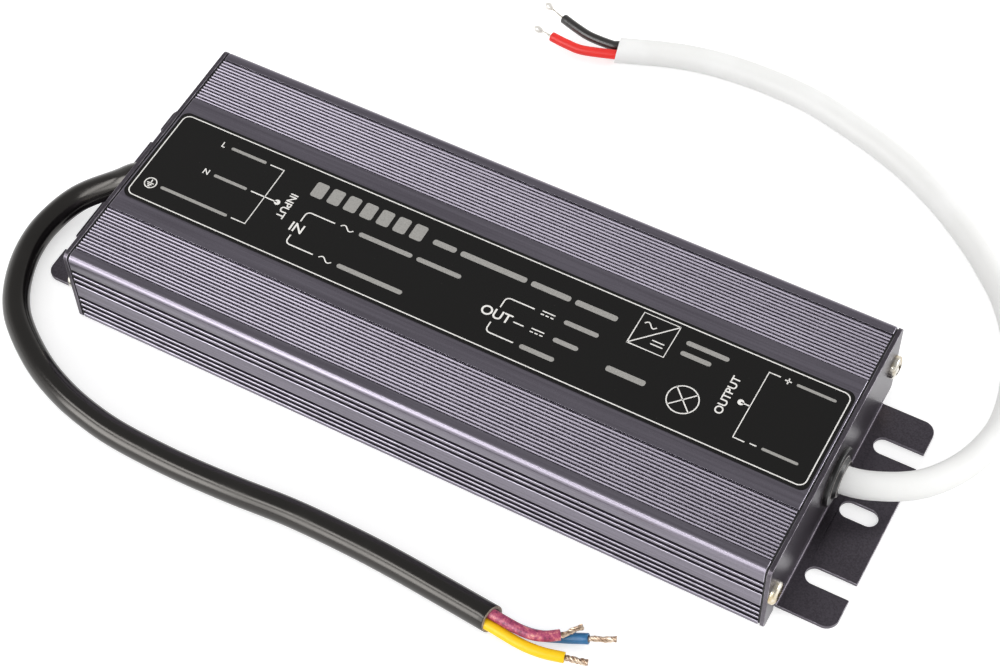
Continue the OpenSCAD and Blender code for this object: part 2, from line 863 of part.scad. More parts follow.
module transformer_winding() {
  color("#c9a23c") difference() {
    wound_block();
    transformer_core();
  }
}

module safety_capacitor() {
  color("#3c6ea8") standing_disc(safety_place, safety_d);
}

module output_capacitors() {
  color("#2b2b30") for (place = out_cap_places) {
    translate([place[0], place[1], seat]) can(out_cap_d, headroom);
    legs([for (s = [-1, 1]) place + [s*out_cap_d/4, 0]], seat + leg_d);
  }
}

// Small chip package with two rows of legs
module chip(place, l, legs_per_side) {
  pitch = l/legs_per_side;
  translate([place[0], place[1], seat]) block(l, chip_w, chip_h, case_r);
  legs([for (s = [-1, 1], i = [0:legs_per_side - 1])
    place + [(i + 0.5)*pitch - l/2, s*(chip_w/2 - leg_d)]], seat + leg_d);
}

module controller_chip() {
  color("#1d1d1f") chip(controller_place, controller_l, 4);
}

module optocoupler() {
  color("#e8e6df") chip(coupler_place, coupler_l, 2);
}

// Everything that stands on the board
module components() {
  fuse();
  inrush_thermistor();
  surge_varistor();
  filter_capacitor();
  choke_core();
  choke_sectors();
  bridge_rectifier();
  storage_capacitors();
  switching_transistors();
  heat_column(switch_place);
  transformer_core();
  wound_block();
  safety_capacitor();
  output_rectifiers();
  heat_column(rectifier_place);
  inductor_core();
  inductor_sector();
  output_capacitors();
  controller_chip();
  optocoupler();
  input_wires();
  output_wires();
}

module board_blank() {
  translate([0, 0, board_z + board_t/2]) cube([board_l, 2*board_half, board_t], center = true);
}

module circuit_board() {
  color("#2f6b3c") difference() {
    board_blank();
    components();
  }
}

// Inner ends of both leads and grommets, which the compound closes round
module lead_tails() {
  for (side = [-1, 1]) at_end(side) translate([-grommet_inner_t, 0, cable_z]) rotate([0, 90, 0])
    cylinder(d = grommet_inner_d, h = grommet_inner_t + over);
  for (route = [input_route, output_route]) {
    tail = (body_l/2 - abs(route[0][0]))*sign(route[0][0]);
    translate([route[0][0] + tail/2, 0, cable_z]) rotate([0, 90, 0])
      cylinder(r = cable_r, h = abs(tail) + over, center = true);
  }
}

module potting_compound() {
  color("#4a4a4c") difference() {
    along_x(body_l) cavity();
    insulating_film();
    board_blank();
    components();
    lead_tails();
  }
}

housing();
input_end_plate();
output_end_plate();
input_gasket();
output_gasket();
end_screws();
input_grommet();
output_grommet();
rating_label();
input_cable();
brown_core();
blue_core();
yellow_core();
input_strands();
output_cable();
red_core();
black_core();
output_strands();
insulating_film();
circuit_board();
potting_compound();
input_wires();
output_wires();
fuse();
inrush_thermistor();
surge_varistor();
filter_capacitor();
choke_core();
choke_windings();
bridge_rectifier();
storage_capacitors();
switching_transistors();
primary_heat_block();
primary_thermal_pad();
transformer_core();
transformer_winding();
safety_capacitor();
output_rectifiers();
secondary_heat_block();
secondary_thermal_pad();
inductor_core();
inductor_winding();
output_capacitors();
controller_chip();
optocoupler();
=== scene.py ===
"""Studio view of a weatherproof LED driver with its two leads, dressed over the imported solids."""

import json
import math

import bmesh
import bpy
import numpy as np
from mathutils import Matrix, Vector

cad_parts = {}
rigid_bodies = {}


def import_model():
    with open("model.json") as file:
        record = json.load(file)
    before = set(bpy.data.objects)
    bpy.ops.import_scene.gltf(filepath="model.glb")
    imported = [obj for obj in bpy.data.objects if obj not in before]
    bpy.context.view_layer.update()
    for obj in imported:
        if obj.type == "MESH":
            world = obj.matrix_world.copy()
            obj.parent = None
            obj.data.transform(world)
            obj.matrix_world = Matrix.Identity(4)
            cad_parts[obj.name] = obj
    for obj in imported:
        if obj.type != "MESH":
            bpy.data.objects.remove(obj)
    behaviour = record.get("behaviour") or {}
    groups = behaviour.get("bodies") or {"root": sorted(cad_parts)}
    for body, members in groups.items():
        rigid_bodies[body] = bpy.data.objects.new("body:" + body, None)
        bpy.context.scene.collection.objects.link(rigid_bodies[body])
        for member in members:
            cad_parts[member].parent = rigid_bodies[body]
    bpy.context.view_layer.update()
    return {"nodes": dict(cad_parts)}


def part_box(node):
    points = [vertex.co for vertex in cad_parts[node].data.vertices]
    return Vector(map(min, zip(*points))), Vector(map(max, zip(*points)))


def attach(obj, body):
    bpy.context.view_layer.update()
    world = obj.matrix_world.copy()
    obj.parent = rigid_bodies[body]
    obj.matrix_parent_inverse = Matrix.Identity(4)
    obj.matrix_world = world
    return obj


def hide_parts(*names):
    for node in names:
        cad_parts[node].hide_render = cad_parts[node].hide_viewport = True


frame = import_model()
nodes = frame["nodes"]
scene = bpy.context.scene
MM = 0.001
TURN = 2*math.pi

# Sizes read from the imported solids
tube_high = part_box("housing")[1]
film_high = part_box("rating_label")[1]
screw_low, screw_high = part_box("end_screws")
gasket_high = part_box("output_gasket")[1]
tube_half = tube_high.x
print_z = film_high.z
screw_head_r = (screw_high.z - screw_low.z)/2

# Sizes of the leads and of what shows at their ends
lead_d = 6.5*MM
lead_wall = 0.8*MM
lead_hollow = 5*MM
lead_lip = 0.15*MM
lead_sides = 40
core_d = 2.5*MM
core_wall = 0.45*MM
core_hollow = 1.5*MM
core_lip = 0.12*MM
core_sides = 24
bead_sides = 16

# Sizes of the tube, the plates, the edge breaks and the print
top_edge_r = 1.6*MM
ridge_zone = 1*MM
plate_t = 1*MM
plate_face = gasket_high.x + plate_t
tube_break = 0.19*MM
plate_break = 0.12*MM
grommet_break = 0.14*MM
ridge_break_share = 0.1
print_t = 0.03*MM
weld_gap = 0.001*MM
flat_below = math.radians(0.5)
broken_above = math.radians(35)


# Camera

def photo_camera():
    azimuth, elevation, roll = (math.radians(a) for a in (30.126, 55.512, -2.1))
    aim = Vector((2.67, 5.04, 2.2))*MM
    distance = 545.41*MM
    flat = math.cos(elevation)
    back = Vector((math.sin(azimuth)*flat, -math.cos(azimuth)*flat, math.sin(elevation)))
    data = bpy.data.cameras.new("photo_camera")
    data.lens = 84
    data.sensor_width = 36
    data.clip_start = 0.01
    data.clip_end = 50
    camera = bpy.data.objects.new("photo_camera", data)
    scene.collection.objects.link(camera)
    turned = back.to_track_quat("Z", "Y").to_matrix().to_4x4() @ Matrix.Rotation(roll, 4, "Z")
    camera.matrix_world = Matrix.Translation(aim + back*distance) @ turned
    scene.camera = camera


photo_camera()


# Node trees

class Value:
    """One output socket. Arithmetic on it adds Math nodes to its tree."""

    def __init__(self, graph, socket):
        self.graph = graph
        self.socket = socket

    def math(self, operation, *operands):
        return self.graph.add("ShaderNodeMath", {"operation": operation}, dict(enumerate(operands)))["Value"]

    def __add__(self, other):
        return self.math("ADD", self, other)

    def __radd__(self, other):
        return self.math("ADD", other, self)

    def __rsub__(self, other):
        return self.math("SUBTRACT", other, self)

    def __mul__(self, other):
        return self.math("MULTIPLY", self, other)

    def __truediv__(self, other):
        return self.math("DIVIDE", self, other)

    def larger(self, other):
        return self.math("MAXIMUM", self, other)


class Outputs:
    """The outputs of a node, found by identifier, name or number."""

    def __init__(self, graph, node):
        self.graph = graph
        self.node = node

    def __getitem__(self, key):
        return Value(self.graph, find_socket(self.node.outputs, key))


class Graph:
    """A node tree that is being filled."""

    def __init__(self, tree):
        self.tree = tree

    def add(self, kind, settings=None, inputs=None):
        """Adds a node. Its settings come first, then the values or links of its sockets."""
        node = self.tree.nodes.new(kind)
        for key, value in (settings or {}).items():
            if key == "stops":
                set_stops(node.color_ramp, value)
            else:
                setattr(node, key, value)
        self.feed(node, inputs or {})
        return Outputs(self, node)

    def feed(self, node, inputs):
        for key, value in inputs.items():
            socket = find_socket(node.inputs, key)
            if isinstance(value, Value):
                self.tree.links.new(value.socket, socket)
            else:
                socket.default_value = value


def find_socket(sockets, key):
    if isinstance(key, int):
        return sockets[key]
    same_identifier = [s for s in sockets if s.identifier == key]
    same_name = [s for s in sockets if s.name == key and s.enabled]
    return (same_identifier + same_name)[0]


def set_stops(ramp, stops):
    while len(ramp.elements) < len(stops):
        ramp.elements.new(1)
    for element, (place, shade) in zip(ramp.elements, stops):
        element.position = place
        element.color = shade


# Materials

def screen(code):
    """Linear colour of a six-digit screen colour."""
    parts = [int(code[i:i + 2], 16)/255 for i in (1, 3, 5)]
    linear = [c/12.92 if c < 0.04045 else ((c + 0.055)/1.055)**2.4 for c in parts]
    return (*linear, 1)


class Finish:
    """A material with one Principled shader, whose varying inputs are fed one by one."""

    def __init__(self, name, constants):
        self.material = bpy.data.materials.new(name)
        self.material.use_nodes = True
        self.material.node_tree.nodes.clear()
        self.graph = Graph(self.material.node_tree)
        self.shader = self.graph.add("ShaderNodeBsdfPrincipled", None, constants)
        self.graph.add("ShaderNodeOutputMaterial", None, {"Surface": self.shader["BSDF"]})
        self.place = self.graph.add("ShaderNodeTexCoord")["Object"]

    def feed(self, **inputs):
        named = {key.replace("_", " "): value for key, value in inputs.items()}
        self.graph.feed(self.shader.node, named)

    def stretched(self, stretch):
        return self.graph.add("ShaderNodeMapping", None, {"Vector": self.place, "Scale": stretch})["Vector"]

    def noise(self, scale, detail=3, stretch=(1, 1, 1)):
        inputs = {"Vector": self.stretched(stretch), "Scale": scale, "Detail": detail}
        return self.graph.add("ShaderNodeTexNoise", None, inputs)["Fac"]

    def specks(self, scale):
        inputs = {"Vector": self.place, "Scale": scale}
        return self.graph.add("ShaderNodeTexVoronoi", {"feature": "F1"}, inputs)["Distance"]

    def attribute(self, name):
        return self.graph.add("ShaderNodeAttribute", {"attribute_name": name})["Fac"]

    def ramp(self, value, stops):
        return self.graph.add("ShaderNodeValToRGB", {"stops": stops}, {"Fac": value})["Color"]

    def step(self, value, low, high):
        inputs = {"Value": value, "From Min": low, "From Max": high}
        return self.graph.add("ShaderNodeMapRange", {"interpolation_type": "SMOOTHSTEP"}, inputs)["Result"]

    def mix(self, share, first, second):
        inputs = {"Factor_Float": share, "A_Color": first, "B_Color": second}
        return self.graph.add("ShaderNodeMix", {"data_type": "RGBA"}, inputs)["Result_Color"]

    def bump(self, height, strength, depth):
        inputs = {"Height": height, "Strength": strength, "Distance": depth}
        return self.graph.add("ShaderNodeBump", None, inputs)["Normal"]


def plain_finish(name, light, dark, rough, metal=0, grain=900, stretch=(1, 1, 1), relief=0.15):
    """A surface whose colour, gloss and relief wander between two tones."""
    made = Finish(name, {"Metallic": metal})
    fine = made.noise(grain, 4, stretch)
    broad = made.noise(grain/12, 2, stretch)
    shade = made.step(fine*0.6 + broad*0.4, 0.35, 0.65)
    made.feed(
        Base_Color=made.mix(shade, screen(dark), screen(light)),
        Roughness=rough - 0.06 + fine*0.12,
        Normal=made.bump(fine, relief, 0.05*MM),
    )
    return made.material


def anodised_tube():
    """Dark anodised aluminium with the draw lines of an extrusion and a fine blasted grain, rougher grooves,
    and painted shade in the grooves and on the slopes of the ridges.
    """
    made = Finish("anodised_tube", {"Metallic": 1})
    lines = made.noise(1500, 3, (0.012, 1, 1))
    grain = made.noise(5200, 2)
    patches = made.noise(28, 2)
    # Painted shade: faces deeper than about 0.3 mm in the grooves are mixed toward a dark tone and made
    # rougher.
    depth = made.attribute("depth")
    dull = made.step(depth, 0.3*MM, 0.6*MM)
    # Painted shade on the slopes of the ridges, which tones down the highlights they catch.
    slope = made.attribute("slope")
    tone = made.step(lines*0.5 + grain*0.35 + patches*0.15, 0.36, 0.64)
    skin = made.mix(tone, screen("#716c76"), screen("#85808b"))
    made.feed(
        Base_Color=made.mix((dull*0.85).larger(slope*0.3), skin, screen("#2b282d")),
        Roughness=0.26 + lines*0.05 + grain*0.06 + dull*0.2,
        Normal=made.bump(grain*0.6 + lines*0.4, 0.08, 0.02*MM),
    )
    return made.material


def plate_sheet():
    """Charcoal coat on folded sheet, with a fine leathery skin."""
    made = Finish("plate_sheet", {"Metallic": 0.9})
    skin = made.noise(2600, 3)
    patches = made.noise(55, 2)
    tone = made.step(skin*0.6 + patches*0.4, 0.38, 0.62)
    made.feed(
        Base_Color=made.mix(tone, screen("#524d54"), screen("#615c64")),
        Roughness=0.27 + skin*0.12,
        Normal=made.bump(skin, 0.1, 0.03*MM),
    )
    return made.material


def rubbed_edge(name, light, dark):
    """Lighter finish for broken edges: a painted highlight, partly bare metal where a coat has worn thin."""
    made = Finish(name, {"Metallic": 1})
    wear = made.noise(240, 4)
    made.feed(
        Base_Color=made.mix(made.step(wear, 0.4, 0.62), screen(dark), screen(light)),
        Roughness=0.26 + wear*0.16,
    )
    return made.material


def label_film():
    """Black film with a soft sheen and a few dust specks."""
    made = Finish("label_film", {"Metallic": 0, "Specular IOR Level": 0.25})
    tooth = made.noise(3800, 2)
    dust = made.specks(420)
    speck = 1 - made.step(dust, 0.03, 0.07)
    made.feed(
        Base_Color=made.mix(speck*0.2, screen("#0f0e0d"), screen("#4a4743")),
        Roughness=0.34 + tooth*0.16,
        Normal=made.bump(tooth, 0.08, 0.01*MM),
    )
    return made.material


def print_ink(name, light, dark):
    """Ink that lies a little uneven on the film."""
    made = Finish(name, {"Metallic": 0})
    cover = made.noise(2400, 3)
    made.feed(
        Base_Color=made.mix(made.step(cover, 0.3, 0.6), screen(dark), screen(light)),
        Roughness=0.45 + cover*0.2,
        Normal=made.bump(cover, 0.1, 0.01*MM),
    )
    return made.material


def sheath(name, light, dark, rough, gloss=0.5, cast="#ffffff"):
    """Soft plastic sheath with a faint moulded skin and rubbed patches."""
    constants = {"Metallic": 0, "IOR": 1.5, "Specular IOR Level": gloss, "Specular Tint": screen(cast)}
    made = Finish(name, constants)
    skin = made.noise(1300, 3)
    rubbed = made.step(made.noise(70, 3), 0.45, 0.7)
    made.feed(
        Base_Color=made.mix(rubbed*0.6 + skin*0.3, screen(dark), screen(light)),
        Roughness=rough + rubbed*0.1 + skin*0.06,
        Normal=made.bump(skin, 0.1, 0.04*MM),
    )
    return made.material


def mottled_core():
    """Brown core whose colour drifts from rose to copper."""
    made = Finish("brown_core", {"Metallic": 0})
    drift = made.noise(640, 4)
    fleck = made.noise(2200, 3)
    shade = made.ramp(drift*0.6 + fleck*0.4, [
        (0.36, screen("#6d2345")),
        (0.47, screen("#a93f66")),
        (0.56, screen("#c9697a")),
        (0.66, screen("#e6ab96")),
    ])
    made.feed(
        Base_Color=shade,
        Roughness=0.3 + fleck*0.15,
        Normal=made.bump(drift, 0.3, 0.08*MM),
    )
    return made.material


def bare_strands(name, light, dark):
    """Drawn wire, bright along the strand and dull where it was handled."""
    made = Finish(name, {"Metallic": 1})
    dull = made.noise(900, 3)
    made.feed(
        Base_Color=made.mix(made.step(dull, 0.35, 0.65), screen(light), screen(dark)),
        Roughness=0.22 + dull*0.25,
    )
    return made.material


def screw_metal():
    """Plated steel with a warm cast and fine turning marks."""
    made = Finish("screw_metal", {"Metallic": 1})
    marks = made.noise(3200, 2)
    cast = made.noise(300, 2)
    made.feed(
        Base_Color=made.mix(made.step(cast, 0.35, 0.65), screen("#ebe8e1"), screen("#c2b08a")),
        Roughness=0.16 + marks*0.2,
        Normal=made.bump(marks, 0.1, 0.02*MM),
    )
    return made.material


black_sheath = sheath("black_sheath", "#0f0e0d", "#060505", 0.15, 0.6, "#fffaf4")
white_sheath = sheath("white_sheath", "#f4f4f3", "#ededeb", 0.38, 0.4)
black_rim = plain_finish("black_sheath_cut", "#ab9d90", "#776b60", 0.6, grain=1800)
tinned = bare_strands("tinned_strands", "#f0ede7", "#b9b3a8")
solder = plain_finish("solder_bead", "#f4f2ee", "#dedad2", 0.3, metal=0.35, grain=700)
copper_tinned = bare_strands("copper_strands", "#ead9c4", "#ac8f78")
ink = print_ink("white_ink", "#e9e7e3", "#dddbd6")
soft_ink = print_ink("grey_ink", "#9a9894", "#8f8d89")

core_finishes = {
    "brown_core": mottled_core(),
    "blue_core": sheath("blue_core", "#4b90c8", "#22608f", 0.28, 0.4),
    "yellow_core": sheath("yellow_core", "#ffd800", "#f7c600", 0.34, 0.35),
    "red_core": sheath("red_core", "#fb2a1e", "#e01a14", 0.32, 0.5),
    "black_core": sheath("black_core", "#272321", "#14110f", 0.26, 0.9),
}

solid_finishes = {
    "rating_label": label_film(),
    "input_gasket": plain_finish("gasket_rubber", "#222121", "#141313", 0.7, grain=1500),
    "insulating_film": plain_finish("film_sheet", "#dcd8c6", "#cfcab6", 0.4, grain=300),
    "circuit_board": plain_finish("board_laminate", "#35734a", "#285b38", 0.45, grain=700, stretch=(1, 1, 8)),
    "potting_compound": plain_finish("compound", "#525254", "#404042", 0.55, grain=260, relief=0.3),
    "input_wires": plain_finish("wire_plastic", "#86503f", "#6d3f31", 0.4),
    "fuse": plain_finish("fuse_glass", "#d6dcd9", "#b9c2be", 0.2, metal=0.4),
    "inrush_thermistor": plain_finish("disc_green", "#385646", "#274034", 0.5),
    "surge_varistor": plain_finish("disc_blue", "#3468a6", "#27528a", 0.45),
    "filter_capacitor": plain_finish("box_yellow", "#cfb944", "#b9a233", 0.5),
    "choke_core": plain_finish("ferrite_green", "#42684f", "#315440", 0.55),
    "choke_windings": plain_finish("magnet_wire", "#c27338", "#9c5424", 0.3, metal=0.9, stretch=(1, 1, 6)),
    "bridge_rectifier": plain_finish("moulded_case", "#2c2c2e", "#1a1a1c", 0.5),
    "storage_capacitors": plain_finish("can_sleeve", "#2a3352", "#1d243c", 0.35),
    "primary_heat_block": plain_finish(
        "milled_block", "#c2c5c9", "#a6a9ae", 0.35, metal=1, stretch=(0.1, 1, 1)),
    "primary_thermal_pad": plain_finish("pad_silicone", "#98aec0", "#8197a9", 0.7),
    "transformer_core": plain_finish("ferrite_grey", "#434345", "#333335", 0.6),
    "transformer_winding": plain_finish("winding_tape", "#d2ab45", "#bb9432", 0.4),
    "optocoupler": plain_finish("coupler_case", "#ecebe4", "#dad8d0", 0.5),
}

same_finish = {
    "output_gasket": "input_gasket",
    "output_wires": "input_wires",
    "safety_capacitor": "surge_varistor",
    "inductor_core": "filter_capacitor",
    "inductor_winding": "choke_windings",
    "switching_transistors": "bridge_rectifier",
    "output_rectifiers": "bridge_rectifier",
    "controller_chip": "bridge_rectifier",
    "output_capacitors": "storage_capacitors",
    "secondary_heat_block": "primary_heat_block",
    "secondary_thermal_pad": "primary_thermal_pad",
}


def dress_solids():
    for name, material in solid_finishes.items():
        nodes[name].material_slots[0].material = material
    for name, other in same_finish.items():
        nodes[name].material_slots[0].material = solid_finishes[other]


dress_solids()


# Pieces

def place_piece(piece, stands_for=()):
    """Puts a finished piece on the object's one body."""
    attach(piece, "root")
    if stands_for:
        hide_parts(*stands_for)
    return piece


def new_object(name, mesh):
    piece = bpy.data.objects.new(name, mesh)
    scene.collection.objects.link(piece)
    return piece


def plain_mesh(piece):
    """Turns what a piece's modifiers make of it into its own plain mesh."""
    graph = bpy.context.evaluated_depsgraph_get()
    made = bpy.data.meshes.new_from_object(piece.evaluated_get(graph))
    piece.modifiers.clear()
    piece.data = made
    return piece


def empty_tree(name, inputs):
    """A geometry tree with named inputs, given as name: (kind of socket, value)."""
    tree = bpy.data.node_groups.new(name, "GeometryNodeTree")
    tree.interface.new_socket("Geometry", in_out="INPUT", socket_type="NodeSocketGeometry")
    for label, (kind, value) in inputs.items():
        socket = tree.interface.new_socket(label, in_out="INPUT", socket_type="NodeSocket" + kind)
        if value is not None:
            socket.default_value = value
    tree.interface.new_socket("Geometry", in_out="OUTPUT", socket_type="NodeSocketGeometry")
    graph = Graph(tree)
    return graph, graph.add("NodeGroupInput")


def close_tree(graph, geometry, material):
    """Ends a tree: instances made real, material set."""
    real = graph.add("GeometryNodeRealizeInstances", None, {"Geometry": geometry})["Geometry"]
    painted = graph.add("GeometryNodeSetMaterial", None, {"Geometry": real, "Material": material})["Geometry"]
    graph.add("NodeGroupOutput", None, {"Geometry": painted})
    return graph.tree


def grow(name, mesh, tree, **inputs):
    """Runs a tree on a mesh and keeps the outcome as a plain mesh."""
    piece = new_object(name, mesh)
    modifier = piece.modifiers.new("grow", "NODES")
    modifier.node_group = tree
    identifiers = {item.name: item.identifier for item in tree.interface.items_tree if item.in_out == "INPUT"}
    for key, value in inputs.items():
        modifier[identifiers[key.replace("_", " ")]] = value
    return plain_mesh(piece)


# Leads and cores

# Routes of the leads in metres, from their end of the tube
INPUT_LINE = [
    (0.0055, 0, 0.012), (-0.0045, 0, 0.012), (-0.0105, -0.003, 0.009),
    (-0.018, -0.0095, 0.006), (-0.0215, -0.018, 0.004), (-0.0215, -0.026, 0.0033),
    (-0.019, -0.034, 0.0033), (-0.015, -0.041, 0.0033), (-0.0095, -0.0465, 0.0033),
    (-0.0005, -0.0525, 0.0033), (0.0085, -0.0565, 0.0033), (0.0175, -0.059, 0.0033),
    (0.0275, -0.0605, 0.0033), (0.0425, -0.061, 0.0033), (0.0575, -0.0605, 0.0033),
    (0.0725, -0.0595, 0.0033), (0.0875, -0.0595, 0.0033), (0.0995, -0.06, 0.0033),
    (0.1125, -0.061, 0.0033), (0.1245, -0.062, 0.0033),
]
OUTPUT_LINE = [
    (-0.0055, 0, 0.012), (0.0045, 0, 0.012), (0.0115, 0.0025, 0.0115), (0.018, 0.007, 0.0105),
    (0.0225, 0.013, 0.009), (0.026, 0.021, 0.007), (0.028, 0.03, 0.0053), (0.028, 0.038, 0.0042),
    (0.0265, 0.046, 0.0036), (0.024, 0.054, 0.0033), (0.0205, 0.061, 0.0033), (0.0155, 0.068, 0.0033),
    (0.0095, 0.074, 0.0033), (0.0025, 0.08, 0.0033), (-0.0075, 0.087, 0.0033), (-0.0175, 0.0925, 0.0033),
    (-0.0275, 0.0965, 0.0033), (-0.0375, 0.0995, 0.0033), (-0.0475, 0.102, 0.0033), (-0.0575, 0.103, 0.0033),
    (-0.0675, 0.103, 0.0033), (-0.0775, 0.102, 0.0033), (-0.0875, 0.0995, 0.0033), (-0.0995, 0.095, 0.0033),
]


def smooth(points, step):
    """Points about one step apart on a smooth curve through the given ones."""
    known = [np.array(p, float) for p in points]
    known = [2*known[0] - known[1]] + known + [2*known[-1] - known[-2]]
    found = []
    for a, b, c, d in zip(known, known[1:], known[2:], known[3:]):
        count = max(2, math.ceil(np.linalg.norm(c - b)/step))
        for t in np.arange(count)/count:
            found.append(0.5*(2*b + (c - a)*t + (2*a - 5*b + 4*c - d)*t**2 + (3*b - a - 3*c + d)*t**3))
    found.append(known[-2])
    return np.array(found)


def unit(v):
    return v/np.linalg.norm(v)


class Path:
    """A smooth line with a frame that turns as little as it can."""

    def __init__(self, points, step=1.2*MM):
        self.points = smooth(points, step)
        gaps = np.linalg.norm(np.diff(self.points, axis=0), axis=1)
        self.far = np.concatenate([[0], np.cumsum(gaps)])
        self.length = self.far[-1]
        ahead = np.gradient(self.points, axis=0)
        self.ways = ahead/np.linalg.norm(ahead, axis=1)[:, None]
        sides = [unit(np.cross((0, 0, 1), self.ways[0]))]
        for way in self.ways[1:]:
            side = sides[-1] - way*np.dot(sides[-1], way)
            sides.append(unit(side))
        self.sides = np.array(sides)

    def ring(self, along, radius, count, lean=(0, 0, 0)):
        """Points of a ring round the line at a distance along it, in a plane that may lean back."""
        mid, way, side = (
            np.array([np.interp(along, self.far, values[:, k]) for k in range(3)])
            for values in (self.points, self.ways, self.sides)
        )
        way = unit(way)
        side = unit(side - way*np.dot(side, way))
        up = np.cross(way, side)
        angles = TURN*np.arange(count)/count
        out = radius*(np.cos(angles)[:, None]*side + np.sin(angles)[:, None]*up)
        return mid + out - (out @ np.array(lean))[:, None]*way


def swept_mesh(name, path, profile, count):
    """Mesh of rings (distance along the path, radius, lean). A radius of 0 closes it with a point."""
    points = []
    faces = []
    last = None
    for along, radius, *lean in profile:
        start = len(points)
        if radius == 0:
            points.append(path.ring(along, 0, 1)[0])
            now = [start]*count
        else:
            points.extend(path.ring(along, radius, count, *lean))
            now = list(range(start, start + count))
        if last:
            for k in range(count):
                corners = [last[k], last[(k + 1) % count], now[(k + 1) % count], now[k]]
                faces.append(list(dict.fromkeys(corners)))
        last = now
    mesh = bpy.data.meshes.new(name)
    mesh.from_pydata([tuple(p) for p in points], [], faces)
    mesh.shade_smooth()
    mesh.set_sharp_from_angle(angle=math.radians(40))
    return mesh


def lead_profile(path, radius, wall, hollow, lip, lean=(0, 0, 0)):
    """Rings of a sheath: closed at its root, with a hollow cut at its free end that may lean back."""
    far = path.length
    inner = radius - wall
    body = [(along, radius) for along in path.far if along < far - radius/2]
    rim = [(far - lip, radius, lean), (far - lip*0.3, radius - lip*0.3, lean), (far, radius - lip, lean)]
    bore = [(far, inner + lip/2, lean), (far - lip/2, inner, lean), (far - hollow, inner), (far - hollow, 0)]
    return [(0, 0)] + body + rim + bore


def make_lead(name, line, shift, material, rim, lean=(0, 0, 0)):
    """Hollow-ended lead along a line that starts from one end of the tube."""
    path = Path([Vector(p) + Vector((shift, 0, 0)) for p in line])
    profile = lead_profile(path, lead_d/2, lead_wall, lead_hollow, lead_lip, lean)
    mesh = swept_mesh(name, path, profile, lead_sides)
    mesh.materials.append(material)
    mesh.materials.append(rim)
    rings_of_cut = 6
    first_cut = len(profile) - rings_of_cut
    for number, face in enumerate(mesh.polygons):
        if number//lead_sides >= first_cut:
            face.material_index = 1
    return new_object(name, mesh), path


def core_line(path, side, up, rest):
    """Line of a core: it starts inside the sheath, leaves it straight and then follows its own points."""
    end = path.points[-1]
    way = path.ways[-1]
    offset = side*unit(np.cross((0, 0, 1), way)) + np.array((0, 0, up))
    root = lead_hollow*0.9
    straight = 1.5*MM
    start = [end + offset - root*way, end + offset, end + offset + straight*way]
    return start + [end + np.array(p)*MM for p in rest]


def make_core(name, line, material):
    """Core with a hollow end, along its own line."""
    path = Path(line, 0.6*MM)
    profile = lead_profile(path, core_d/2, core_wall, core_hollow, core_lip)
    mesh = swept_mesh(name, path, profile, core_sides)
    mesh.materials.append(material)
    return new_object(name, mesh), path


def strand_tree():
    """Strands twisted round a line, each a copy of it moved to its place in the bundle."""
    graph, given = empty_tree("twisted_strands", {
        "Strands": ("Int", 12),
        "Bundle Radius": ("Float", 0.55*MM),
        "Strand Radius": ("Float", 0.17*MM),
        "Turns": ("Float", 1.5),
        "Fray": ("Float", 0.2),
        "Seed": ("Int", 4),
        "Material": ("Material", None),
    })
    line = graph.add("GeometryNodeMeshToCurve", None, {"Mesh": given["Geometry"]})["Curve"]
    even = graph.add("GeometryNodeResampleCurve", {"mode": "COUNT"}, {"Curve": line, "Count": 28})["Curve"]
    inputs = {"Geometry": even, "Amount": given["Strands"]}
    copies = graph.add("GeometryNodeDuplicateElements", {"domain": "SPLINE"}, inputs)
    number = copies["Duplicate Index"]
    along = graph.add("GeometryNodeSplineParameter")["Factor"]
    inputs = {"Min_001": 0.35, "Max_001": 1.0, "ID": number, "Seed": given["Seed"]}
    share = graph.add("FunctionNodeRandomValue", {"data_type": "FLOAT"}, inputs)["Value_001"]
    angle = (number/given["Strands"] + along*given["Turns"])*TURN
    reach = given["Bundle Radius"]*share*(1 + along*given["Fray"])
    across = graph.add("GeometryNodeInputNormal")["Normal"]
    ahead = graph.add("GeometryNodeInputTangent")["Tangent"]
    inputs = {0: ahead, 1: across}
    beside = graph.add("ShaderNodeVectorMath", {"operation": "CROSS_PRODUCT"}, inputs)["Vector"]
    first = angle.math("COSINE", angle)*reach
    second = angle.math("SINE", angle)*reach
    one = graph.add("ShaderNodeVectorMath", {"operation": "SCALE"}, {0: across, "Scale": first})["Vector"]
    two = graph.add("ShaderNodeVectorMath", {"operation": "SCALE"}, {0: beside, "Scale": second})["Vector"]
    offset = graph.add("ShaderNodeVectorMath", {"operation": "ADD"}, {0: one, 1: two})["Vector"]
    inputs = {"Geometry": copies["Geometry"], "Offset": offset}
    moved = graph.add("GeometryNodeSetPosition", None, inputs)["Geometry"]
    inputs = {"Resolution": 7, "Radius": given["Strand Radius"]}
    section = graph.add("GeometryNodeCurvePrimitiveCircle", {"mode": "RADIUS"}, inputs)["Curve"]
    inputs = {"Curve": moved, "Profile Curve": section, "Fill Caps": True}
    wires = graph.add("GeometryNodeCurveToMesh", None, inputs)["Mesh"]
    return close_tree(graph, wires, given["Material"])


twisted = strand_tree()


def strand_line(core, lead, tip):
    """Line from inside a core's end to a tip measured from the end of the lead."""
    end = core.points[-1]
    way = core.ways[-1]
    root = 1.2*MM
    straight = 0.8*MM
    far = lead.points[-1] + np.array(tip)*MM
    return smooth([end - root*way, end, end + straight*way, far], 0.3*MM)


def make_strands(name, line, material, **sizes):
    """Bare strands twisted along a line."""
    mesh = bpy.data.meshes.new(name)
    mesh.from_pydata([tuple(p) for p in line], [(i, i + 1) for i in range(len(line) - 1)], [])
    piece = grow(name, mesh, twisted, Material=material, **sizes)
    piece.data.shade_smooth()
    return piece


